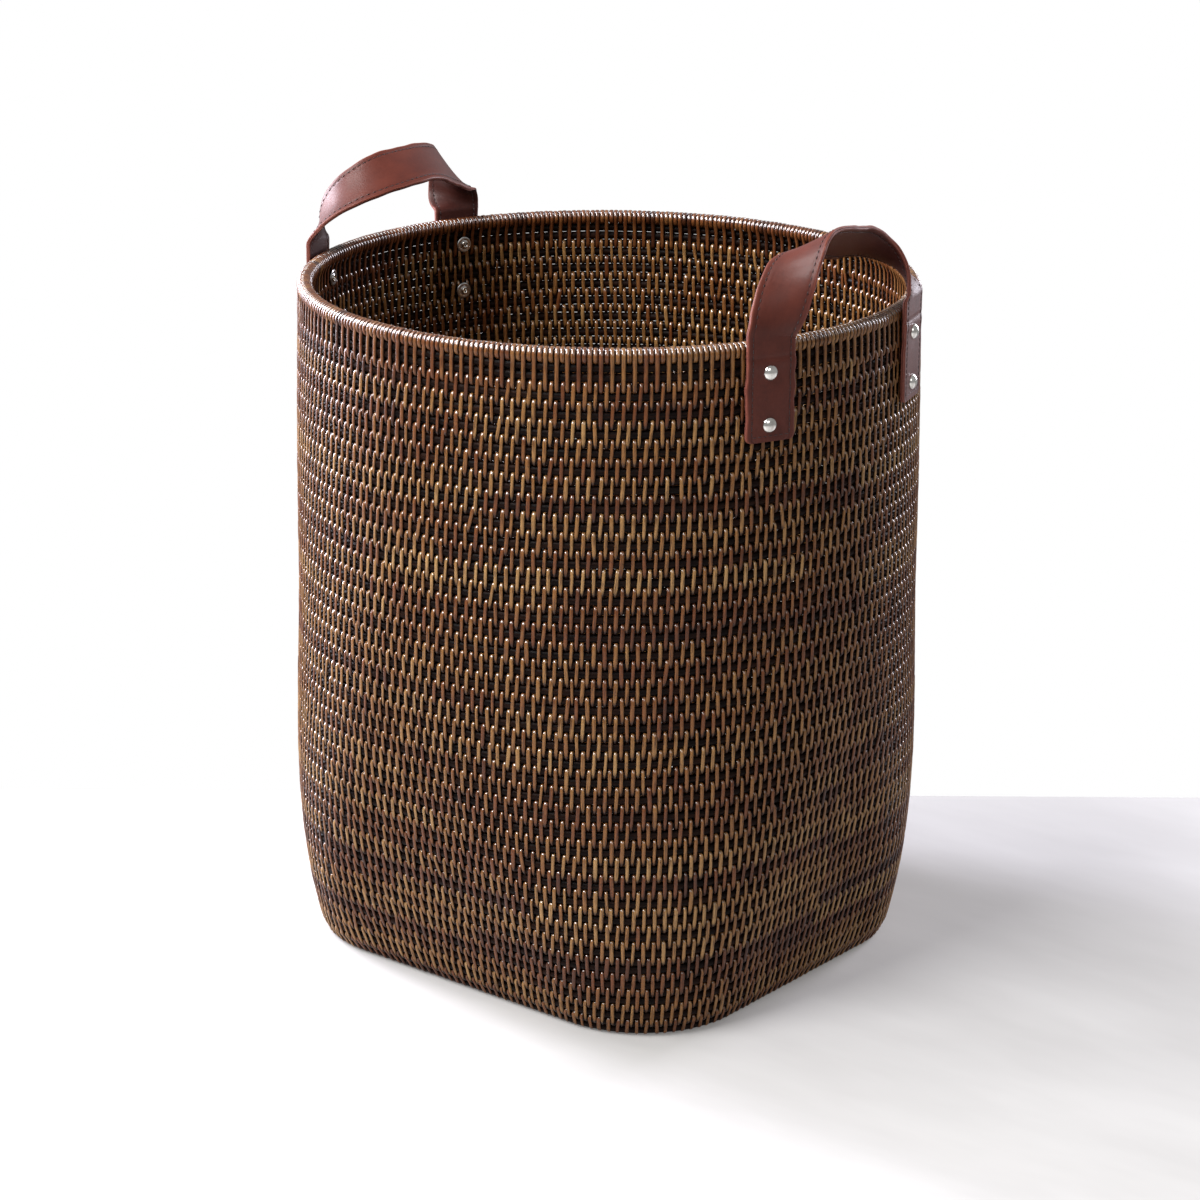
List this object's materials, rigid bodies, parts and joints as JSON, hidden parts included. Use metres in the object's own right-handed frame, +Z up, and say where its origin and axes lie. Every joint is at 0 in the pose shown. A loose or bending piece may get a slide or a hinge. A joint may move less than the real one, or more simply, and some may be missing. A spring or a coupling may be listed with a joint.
{
  "type": "wicker log basket",
  "caption": "Tall open basket coiled from dark rattan rods and stitched with cane, round at the rim and square at the base, with two riveted leather strap handles.",
  "frame": {"origin": "centre of the underside, on the floor", "axes": "+Z up; the handles are on the +X and -X sides; the wider sides of the base face +Y and -Y"},
  "size_m": [0.4511, 0.451, 0.5655],
  "materials": {
    "weave": "semi-gloss lacquered rattan",
    "rod": "semi-gloss dark rattan",
    "cane": "satin split cane",
    "grain_leather": "satin",
    "lining_leather": "satin",
    "nickel": "polished"
  },
  "bodies": {
    "basket": {"base_panel": "weave", "foot_course": "weave", "left_front_tab_leather": "grain_leather", "left_front_tab_lining": "lining_leather", "left_rear_tab_leather": "grain_leather", "left_rear_tab_lining": "lining_leather", "left_rivet_1": "nickel", "left_rivet_2": "nickel", "left_rivet_3": "nickel", "left_rivet_4": "nickel", "left_washer_1": "nickel", "left_washer_2": "nickel", "left_washer_3": "nickel", "left_washer_4": "nickel", "right_front_tab_leather": "grain_leather", "right_front_tab_lining": "lining_leather", "right_rear_tab_leather": "grain_leather", "right_rear_tab_lining": "lining_leather", "right_rivet_1": "nickel", "right_rivet_2": "nickel", "right_rivet_3": "nickel", "right_rivet_4": "nickel", "right_washer_1": "nickel", "right_washer_2": "nickel", "right_washer_3": "nickel", "right_washer_4": "nickel", "rim_core": "rod", "rim_wrap": "cane", "side_wall": "weave"},
    "right_handle": {"right_loop_leather": "grain_leather", "right_loop_lining": "lining_leather"},
    "left_handle": {"left_loop_leather": "grain_leather", "left_loop_lining": "lining_leather"}
  },
  "joints": [
    {"name": "right_handle_swing", "type": "hinge", "parent": "basket", "child": "right_handle", "pos_m": [0.21201, -0.01111, 0.5045], "axis": [0.0523, 0.9986, 0], "range_deg": [-40, 65]},
    {"name": "left_handle_swing", "type": "hinge", "parent": "basket", "child": "left_handle", "pos_m": [-0.2123, 0, 0.5045], "axis": [0, -1, 0], "range_deg": [-40, 65]}
  ]
}
